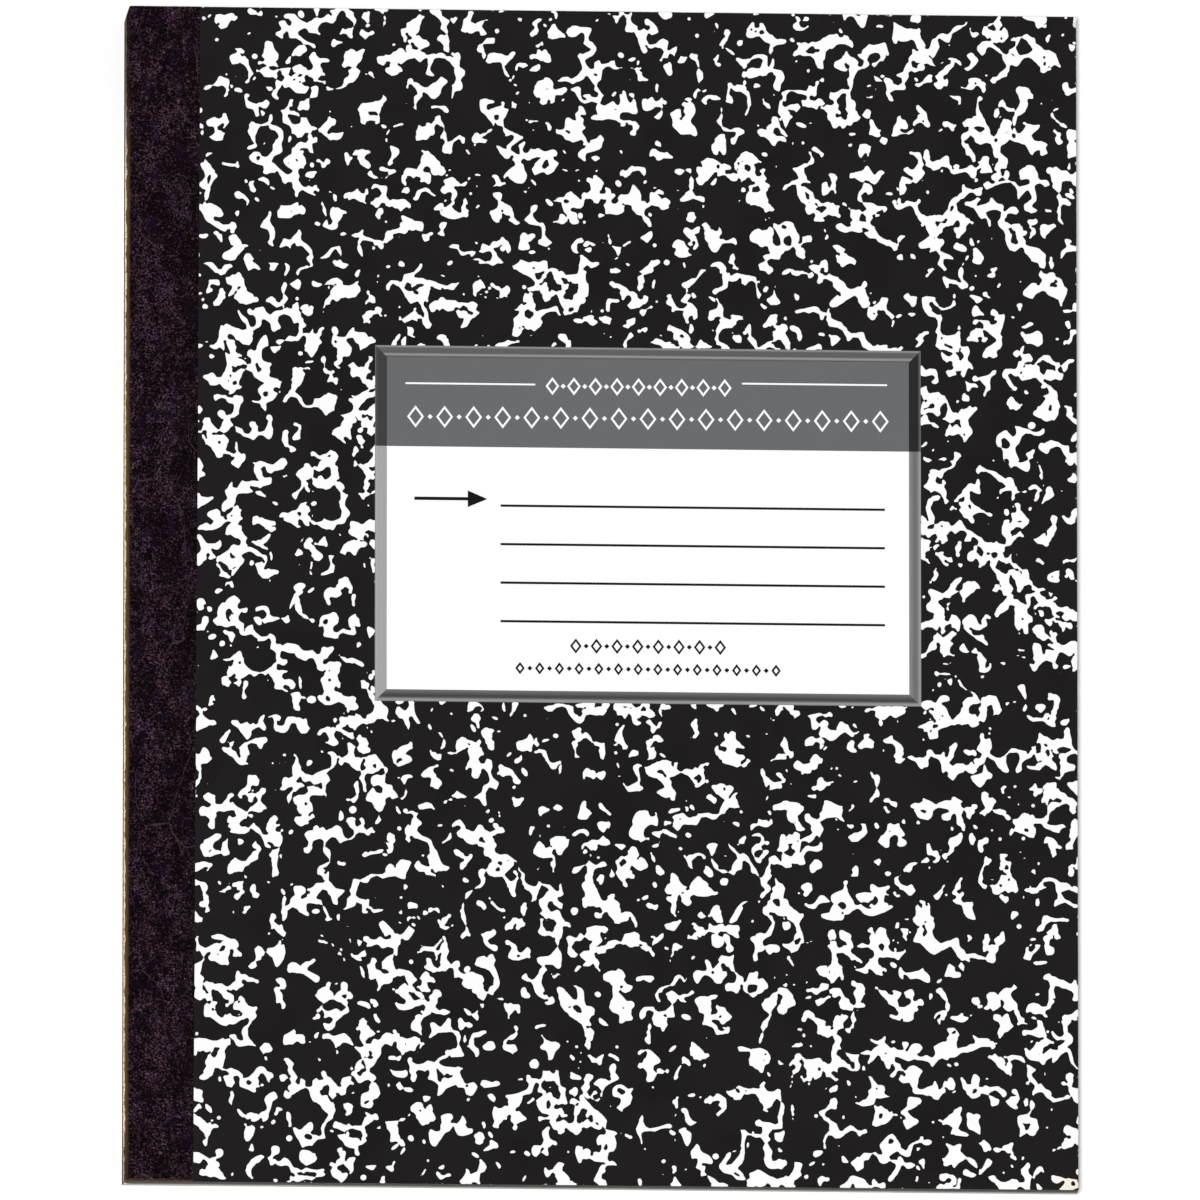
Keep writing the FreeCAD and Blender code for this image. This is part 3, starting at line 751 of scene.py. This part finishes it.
def thinned(field):
    """The field with its white part at the wanted share and no broad white blots."""
    for _ in range(THINNING_ROUNDS):
        field = field - np.quantile(field, 1 - WHITE_SHARE)
        crowd = softened(1 / (1 + np.exp(-field / CROWD_EDGE)), CROWD_SIZE)
        field = field - CROWD_THINNING * np.maximum(crowd - CROWD_LIMIT, 0)
    return field - np.quantile(field, 1 - WHITE_SHARE)


def marble_field(seed, shape):
    """Above zero where the marbled print is white."""
    rng = np.random.default_rng(seed)
    large = to_cell_border(rng, shape, LARGE_CELL)
    small = to_cell_border(rng, shape, SMALL_CELL)
    patches = PATCH_CHANGE * clouds(rng, shape, PATCH_SIZE)
    large_stroke = STROKE + STROKE_CHANGE * waves(rng, shape, STROKE_WAVE) + patches
    small_stroke = STROKE + STROKE_CHANGE * waves(rng, shape, STROKE_WAVE) + patches
    strokes = np.maximum(np.minimum(large_stroke, STROKE_MOST) - large,
                         np.minimum(small_stroke, STROKE_MOST) - small)
    across = WARP * waves(rng, shape, WARP_WAVE)
    along = WARP * waves(rng, shape, WARP_WAVE)
    field = warped(np.clip(strokes, -CLIP, CLIP), across, along)
    field += KNOBS * waves(rng, shape, KNOB_WAVE) + GRIT * waves(rng, shape, GRIT_WAVE)
    field = thinned(softened(field, SOFTNESS))
    add_specks(rng, field)
    return field


def within_cover(x, y, label):
    """Distance inside the printed part of a cover: off the tape, the label and the air."""
    inside = np.minimum(x - (tape_edge(y) + TAPE_MARGIN), FORE_EDGE - EDGE_MARGIN - x)
    inside = np.minimum(inside, np.minimum(y - TAIL, HEAD - y) - EDGE_MARGIN)
    if label:
        off_label = np.maximum(abs(x - LABEL_MIDDLE[0]) - LABEL_SIZE[0] / 2,
                               abs(y - LABEL_MIDDLE[1]) - LABEL_SIZE[1] / 2)
        inside = np.minimum(inside, off_label)
    return inside


# The sides by which an outline enters and leaves a grid cell, for each case of its corners that are inside.
# Sides are 0 low row, 1 right column, 2 high row, 3 left column. The inside lies on the left of a step.
CELL_STEPS = {1: ((0, 3),), 2: ((1, 0),), 3: ((1, 3),), 4: ((2, 1),), 5: ((0, 3), (2, 1)), 6: ((2, 0),),
              7: ((2, 3),), 8: ((3, 2),), 9: ((0, 2),), 10: ((1, 0), (3, 2)), 11: ((1, 2),), 12: ((3, 1),),
              13: ((0, 1),), 14: ((3, 0),)}


def side_key(row, column, side):
    """One name for each side that two cells share."""
    return ((0, row, column), (1, row, column + 1), (0, row + 1, column), (1, row, column))[side]


def side_point(key, across, along):
    """Where the field is zero on a side: (x, y) in grid steps."""
    upright, row, column = key
    if upright:
        return column, row + along[row, column]
    return column + across[row, column], row


def crossing(near, far):
    """The share of the way from near to far at which the field is zero."""
    return near / (near - np.where(far == near, np.nan, far))


def outlines(field):
    """Closed outlines of the field's positive part, in grid steps, each a loop of points."""
    field = np.where(field == 0, TINY, field)
    inside = field > 0
    across = crossing(field[:, :-1], field[:, 1:])
    along = crossing(field[:-1], field[1:])
    case = inside[:-1, :-1] * 1 + inside[:-1, 1:] * 2 + inside[1:, 1:] * 4 + inside[1:, :-1] * 8
    following = {}
    for row, column in np.argwhere((case > 0) & (case < 15)):
        for start, end in CELL_STEPS[case[row, column]]:
            following[side_key(row, column, start)] = side_key(row, column, end)
    loops = []
    while following:
        first, key = following.popitem()
        loop = [first]
        while key != first:
            loop.append(key)
            key = following.pop(key)
        loops.append(np.array([side_point(key, across, along) for key in loop]))
    return loops


def simplified(loop):
    """The loop without the points that lie close to a straight line between those kept."""
    last = len(loop) - 1
    kept = [0]
    while kept[-1] < last:
        start = kept[-1]
        best = start + 1
        for end in range(start + 2, min(start + LONGEST_LINE, last) + 1):
            chord = loop[end] - loop[start]
            length = math.hypot(chord[0], chord[1])
            if length < TINY:
                break
            between = loop[start + 1:end] - loop[start]
            if abs(between[:, 0] * chord[1] - between[:, 1] * chord[0]).max() > SIMPLIFY * length:
                break
            best = end
        kept.append(best)
    return loop[kept]


def print_edges(field, corner):
    """Points of the print's outlines in millimetres, and the edges that join them."""
    points, edges = [], []
    for loop in outlines(field):
        loop = simplified(loop * PITCH) + corner
        if len(loop) < 3:
            continue
        start = len(points)
        points += [Vector(point) for point in loop]
        edges += [(start + i, start + (i + 1) % len(loop)) for i in range(len(loop))]
    return points, edges


def white_mesh(name, field, corner, level, faces_up):
    """A flat mesh over the field's positive part."""
    points, edges = print_edges(field, corner)
    found = geometry.delaunay_2d_cdt(points, edges, [], ALL_TRIANGLES, MERGE_DISTANCE)
    places = np.array([tuple(point) for point in found[0]])
    middles = (places[np.array(found[2])].mean(axis=1) - corner) / PITCH
    white = read_at(field, middles[:, 0], middles[:, 1]) > 0
    triangles = [face if faces_up else face[::-1] for face, kept in zip(found[2], white) if kept]
    mesh = bpy.data.meshes.new(name)
    mesh.from_pydata([(x * MM, y * MM, level * MM) for x, y in places], [], triangles)
    flat_map(mesh, places)
    return mesh


def flat_map(mesh, places):
    """A map for baking that gives each vertex the place listed for it, scaled to fit."""
    low = places.min(axis=0)
    shares = (places - low) / (places - low).max()
    layer = mesh.uv_layers.new(name="OFBake")
    corners = np.zeros(len(mesh.loops), np.int32)
    mesh.loops.foreach_get("vertex_index", corners)
    layer.data.foreach_set("uv", (shares * (1 - 2 * MAP_BORDER) + MAP_BORDER)[corners].ravel())


def add_marble(name, seed, level, faces_up, label, body):
    """The white part of a cover's print as one flat piece just off the board."""
    wide = int((FORE_EDGE - TAPE_EDGE_TAIL + 2 * PADDING) / PITCH)
    high = int((HEAD - TAIL + 2 * PADDING) / PITCH)
    corner = np.array((TAPE_EDGE_TAIL - PADDING, TAIL - PADDING))
    y, x = np.mgrid[0:high, 0:wide] * PITCH
    cover = within_cover(x + corner[0], y + corner[1], label)
    field = np.minimum(marble_field(seed, (high, wide)), cover)
    mesh = white_mesh(name, field, corner, level, faces_up)
    add_piece(name, mesh, marble_material(), body)


# Pieces that stand for CAD solids


def strip_mesh(name, rows):
    """A mesh over a grid of points whose rows are closed rings, with its two ends filled."""
    count = len(rows[0])
    points = [tuple(value * MM for value in point) for row in rows for point in row]
    faces = []
    for r in range(len(rows) - 1):
        for i in range(count):
            j = (i + 1) % count
            faces.append((r * count + i, r * count + j, (r + 1) * count + j, (r + 1) * count + i))
    half = count // 2
    for r, flip in ((0, False), (len(rows) - 1, True)):
        for i in range(half - 1):
            face = (r * count + i, r * count + count - 1 - i, r * count + count - 2 - i, r * count + i + 1)
            faces.append(tuple(reversed(face)) if flip else face)
    mesh = bpy.data.meshes.new(name)
    mesh.from_pydata(points, [], faces)
    mesh.update()
    return mesh


# How many steps the tape has along its length, across a cover and round its outer fold
TAPE_STATIONS = 90
FLAP_STEPS = 16
CORNER_STEPS = 5
CORNER_DROP = 0.01


def flap_across(edge, end):
    """Places across a cover, from the tape's edge to its fold."""
    return [edge + (end - edge) * i / FLAP_STEPS for i in range(FLAP_STEPS + 1)]


def web_heights():
    """Heights down the spine, closer together about the fold line, where the tape bends."""
    return [2.6, 2.4, 2.25] + [2.15 - 0.05 * i for i in range(13)] + [1.4, 1.2, 0.9, 0.6, 0.3, 0.0]


def outer_tape_path(y):
    """(x, distance from the middle level) along the tape's outside, from its edge over the fold."""
    turn = SPINE + TAPE_FOLD_RADIUS
    flap = [(x, TAPE_OUTSIDE) for x in flap_across(tape_edge(y), turn)]
    fold = []
    for i in range(1, CORNER_STEPS + 1):
        angle = math.pi / 2 * (1 + i / CORNER_STEPS)
        fold.append((turn + TAPE_FOLD_RADIUS * math.cos(angle),
                     TAPE_OUTSIDE - TAPE_FOLD_RADIUS + TAPE_FOLD_RADIUS * math.sin(angle)))
    web = [(SPINE, height) for height in web_heights()]
    return flap + fold + web


def inner_tape_path(y):
    """The same along the tape's inside, with as many points."""
    corner = SPINE + TAPE_THICKNESS
    flap = [(x, TAPE_INSIDE) for x in flap_across(tape_edge(y), corner)]
    fold = [(corner, TAPE_INSIDE - CORNER_DROP * i) for i in range(1, CORNER_STEPS + 1)]
    web = [(corner, height) for height in web_heights()]
    return flap + fold + web


def tape_half(name, side):
    """The tape of one cover and the half of the spine beside it, as one strip."""
    rows = []
    for station in range(TAPE_STATIONS + 1):
        share = station / TAPE_STATIONS
        y = TAIL + share * (HEAD - TAIL)
        ring = outer_tape_path(y) + list(reversed(inner_tape_path(y)))
        rows.append([(x, TAIL + share * (worn_head(x) - TAIL), MIDDLE_LEVEL + side * height)
                     for x, height in ring])
    mesh = strip_mesh(name, rows)
    if side < 0:
        mesh.flip_normals()
    keep_rest_place(mesh)
    return mesh


def keep_rest_place(mesh):
    """Keeps each point's place at rest, so that a bending piece takes its pattern along."""
    places = np.zeros(len(mesh.vertices) * 3, np.float32)
    mesh.vertices.foreach_get("co", places)
    attribute = mesh.attributes.new("rest_place", "FLOAT_VECTOR", "POINT")
    attribute.data.foreach_set("vector", places)


def add_tape():
    """The tape as two strips that meet half way down the spine."""
    material = tape_material()
    for name, side, body, node in (("tape_front", 1, "front_cover", "tape_front_flap"),
                                   ("tape_back", -1, "back_cover", "tape_back_flap")):
        piece = add_piece(name, tape_half(name, side), material)
        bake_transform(piece)
        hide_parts(node, "tape_spine_web")


# Crosswise rows of a sheet lie at its fore edge and at these distances from it, and round its fold
SHEET_ROWS = (0, 60, 130)
SHEET_FOLD_STEPS = 10
SHEET_STATIONS = 8
# Share of a leaf's thickness that is paper, in most sheets and in the innermost one
LEAF_SHARE = 0.92
INNERMOST_SHARE = 0.8
SHEET_SEED = 5
# The most that a sheet is trimmed short at the fore edge, and at the tail and the head
SHORT_FORE_EDGE = 0.12
SHORT_ENDS = 0.1


def leaf_ring(outer_radius, thickness, fore_edge):
    """Section of one folded sheet: over the top, round the fold and back along the bottom."""
    ring = []
    for radius in (outer_radius, outer_radius - thickness):
        path = [(fore_edge - back, radius) for back in SHEET_ROWS]
        for i in range(SHEET_FOLD_STEPS + 1):
            angle = math.pi / 2 + math.pi * i / SHEET_FOLD_STEPS
            path.append((BLOCK_FOLD_CENTRE + radius * math.cos(angle), radius * math.sin(angle)))
        path += [(fore_edge - back, -radius) for back in reversed(SHEET_ROWS)]
        ring += path if radius == outer_radius else list(reversed(path))
    return ring


def sheet_rows(ring, tail_trim, head_trim):
    """The section repeated along the sheet, which is cut off at the worn corner."""
    rows = []
    for station in range(SHEET_STATIONS + 1):
        share = station / SHEET_STATIONS
        row = []
        for x, height in ring:
            y = TAIL + tail_trim + share * (worn_head(x) - head_trim - TAIL - tail_trim)
            row.append((x, y, MIDDLE_LEVEL + height))
        rows.append(row)
    return rows


def add_pages():
    """Folded sheets, one inside the other, each trimmed a trace unevenly."""
    rng = np.random.default_rng(SHEET_SEED)
    sheets = int((BLOCK_TOP - BLOCK_BOTTOM) / LEAF / 2)
    points, faces, tones = [], [], []
    for index in range(sheets):
        radius = (BLOCK_TOP - BLOCK_BOTTOM) / 2 - index * LEAF
        tone = rng.uniform(0, 1)
        fore_edge = FORE_EDGE - rng.uniform(0, SHORT_FORE_EDGE)
        share = LEAF_SHARE if index < sheets - 1 else INNERMOST_SHARE
        ring = leaf_ring(radius, LEAF * share, fore_edge)
        mesh = strip_mesh("sheet", sheet_rows(ring, *rng.uniform(0, SHORT_ENDS, 2)))
        start = len(points)
        points += [tuple(v.co) for v in mesh.vertices]
        faces += [tuple(start + v for v in f.vertices) for f in mesh.polygons]
        tones += [tone] * len(mesh.vertices)
        bpy.data.meshes.remove(mesh)
    mesh = bpy.data.meshes.new("leaves")
    mesh.from_pydata(points, [], faces)
    attribute = mesh.attributes.new("leaf_tone", "FLOAT", "POINT")
    attribute.data.foreach_set("value", np.array(tones, np.float32))
    piece = add_piece("leaves", mesh, page_material(), "pages")
    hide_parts("page_block")


RULE_SPACING = 8.7
FIRST_RULE = 96.0
LAST_RULE = -118.0
RULE_WIDTH = 0.22
RULE_START = -98.0
RULE_INK = screen(150, 178, 212)
MARGIN_LINE = -70.0
MARGIN_LINE_WIDTH = 0.24
MARGIN_INK = screen(214, 140, 150)
# How far the lines end before the page does, and how far they lie off it
PAGE_INSET = 0.3
LINE_GAP = 0.01


def rule_corners():
    """Left, bottom, right and top of each line to write on."""
    count = int((FIRST_RULE - LAST_RULE) / RULE_SPACING) + 1
    middles = [FIRST_RULE - index * RULE_SPACING for index in range(count)]
    return [(RULE_START, y - RULE_WIDTH / 2, FORE_EDGE - PAGE_INSET, y + RULE_WIDTH / 2) for y in middles]


def margin_corners():
    """The same of the margin line."""
    half = MARGIN_LINE_WIDTH / 2
    return [(MARGIN_LINE - half, TAIL + PAGE_INSET, MARGIN_LINE + half, HEAD - PAGE_INSET)]


def flat_bar(points, faces, corners, level, faces_up):
    """Adds a flat rectangle just off a page."""
    left, bottom, right, top = corners
    start = len(points)
    for x, y in ((left, bottom), (right, bottom), (right, top), (left, top)):
        points.append((x * MM, y * MM, level * MM))
    face = (start, start + 1, start + 2, start + 3)
    faces.append(face if faces_up else tuple(reversed(face)))


def add_page_lines():
    """Lines to write on and a margin line on the first and the last page."""
    for name, material, bars in (("page_rules", line_material("rule_ink", RULE_INK), rule_corners()),
                                 ("page_margins", line_material("margin_ink", MARGIN_INK), margin_corners())):
        points, faces = [], []
        for level, faces_up in ((BLOCK_TOP + LINE_GAP, True), (BLOCK_BOTTOM - LINE_GAP, False)):
            for corners in bars:
                flat_bar(points, faces, corners, level, faces_up)
        mesh = bpy.data.meshes.new(name)
        mesh.from_pydata(points, [], faces)
        add_piece(name, mesh, material, "pages")


def dress(node, material):
    """Gives a CAD node its material, on the object's own slot."""
    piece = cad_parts[node]
    if not piece.material_slots:
        piece.data.materials.append(None)
    for slot in piece.material_slots:
        slot.link = "OBJECT"
        slot.material = material


def dress_cad_nodes():
    """Materials of the CAD nodes that still show."""
    board = board_material()
    white = label_white_material()
    black = ink_material("label_black", *LABEL_BLACK)
    dress("front_board", board)
    dress("back_board", board)
    dress("binding_thread", thread_material())
    dress("name_label", white)
    dress("header_ornament", white)
    dress("label_rim", rim_material())
    dress("label_header", ink_material("header_grey", *HEADER_GREY))
    dress("label_rules", black)
    dress("label_marks", black)


# Floor, light and camera

# Leans of the line of sight away from straight down, found from the outline in the photo
LEAN_TO_TAIL = math.radians(10.316)
LEAN_TO_SPINE = math.radians(3.458)
# Distances of the camera and its aim, in metres, and the sizes of the picture and the sensor
DISTANCE = 8.53
AIM_RIGHT = 0.0001
AIM_UP = 0.00034
FARTHEST_SEEN = 50
PIXELS_PER_METRE = 4694.9
PICTURE = 1200
SENSOR = 36.0


def add_camera():
    """A long lens that looks at the front cover as the photo does."""
    back = Vector((-math.tan(LEAN_TO_SPINE), -math.tan(LEAN_TO_TAIL), 1)).normalized()
    right = Vector((0, 1, 0)).cross(back).normalized()
    up = back.cross(right)
    camera = bpy.data.objects.new("camera", bpy.data.cameras.new("camera"))
    bpy.context.scene.collection.objects.link(camera)
    camera.data.sensor_width = SENSOR
    camera.data.lens = PIXELS_PER_METRE * DISTANCE / PICTURE * SENSOR
    camera.data.clip_end = FARTHEST_SEEN
    place = back * DISTANCE + right * AIM_RIGHT + up * AIM_UP
    turn = Matrix((right, up, back)).transposed().to_4x4()
    camera.matrix_world = Matrix.Translation(place) @ turn
    bpy.context.scene.camera = camera


SUN_STRENGTH = 2.75
SUN_SPREAD = math.radians(16)
SUN_FROM = (-0.14, -0.15, 1.0)
SKY_STRENGTH = 0.17
WHITE_STRENGTH = 1.0


def add_sun():
    """A broad soft light from above, a little from the spine and the tail."""
    sun = bpy.data.objects.new("softbox", bpy.data.lights.new("softbox", "SUN"))
    bpy.context.scene.collection.objects.link(sun)
    sun.data.energy = SUN_STRENGTH
    sun.data.angle = SUN_SPREAD
    sun.rotation_euler = Vector(SUN_FROM).to_track_quat("Z", "Y").to_euler()


def add_sky():
    """Even weak light from all round, which the camera sees as white."""
    world = bpy.data.worlds.new("studio")
    bpy.context.scene.world = world
    world.use_nodes = True
    tree = world.node_tree
    tree.nodes.clear()
    seen = tree.nodes.new("ShaderNodeLightPath")
    mix = tree.nodes.new("ShaderNodeMixShader")
    output = tree.nodes.new("ShaderNodeOutputWorld")
    tree.links.new(seen.outputs["Is Camera Ray"], mix.inputs[0])
    for socket, strength in ((1, SKY_STRENGTH), (2, WHITE_STRENGTH)):
        white = tree.nodes.new("ShaderNodeBackground")
        white.inputs["Color"].default_value = (1, 1, 1, 1)
        white.inputs["Strength"].default_value = strength
        tree.links.new(white.outputs[0], mix.inputs[socket])
    tree.links.new(mix.outputs[0], output.inputs["Surface"])


FLOOR_HALF = 3.0
FLOOR_WHITE = (grey(254), grey(255))
FLOOR_ROUGHNESS = 0.9


def add_floor():
    """A plain white floor, its size in metres."""
    mesh = bpy.data.meshes.new("floor")
    corners = [(x * FLOOR_HALF, y * FLOOR_HALF, 0) for x, y in ((-1, -1), (1, -1), (1, 1), (-1, 1))]
    mesh.from_pydata(corners, [], [(0, 1, 2, 3)])
    floor = bpy.data.objects.new("floor", mesh)
    bpy.context.scene.collection.objects.link(floor)
    surface = Surface("floor_white")
    surface.finish(surface.mix(*FLOOR_WHITE, surface.noise(40.0)), FLOOR_ROUGHNESS, PRINT_GLOSS)
    mesh.materials.append(surface.material)


FRONT_SEED = 7
BACK_SEED = 19

dress_cad_nodes()
add_tape()
add_pages()
add_page_lines()
add_marble("marble_front", FRONT_SEED, FRONT_BOARD_TOP + PRINT_GAP, True, True, "front_cover")
add_marble("marble_back", BACK_SEED, BACK_BOARD_BOTTOM - PRINT_GAP, False, False, "back_cover")
add_floor()
add_sun()
add_sky()
add_camera()
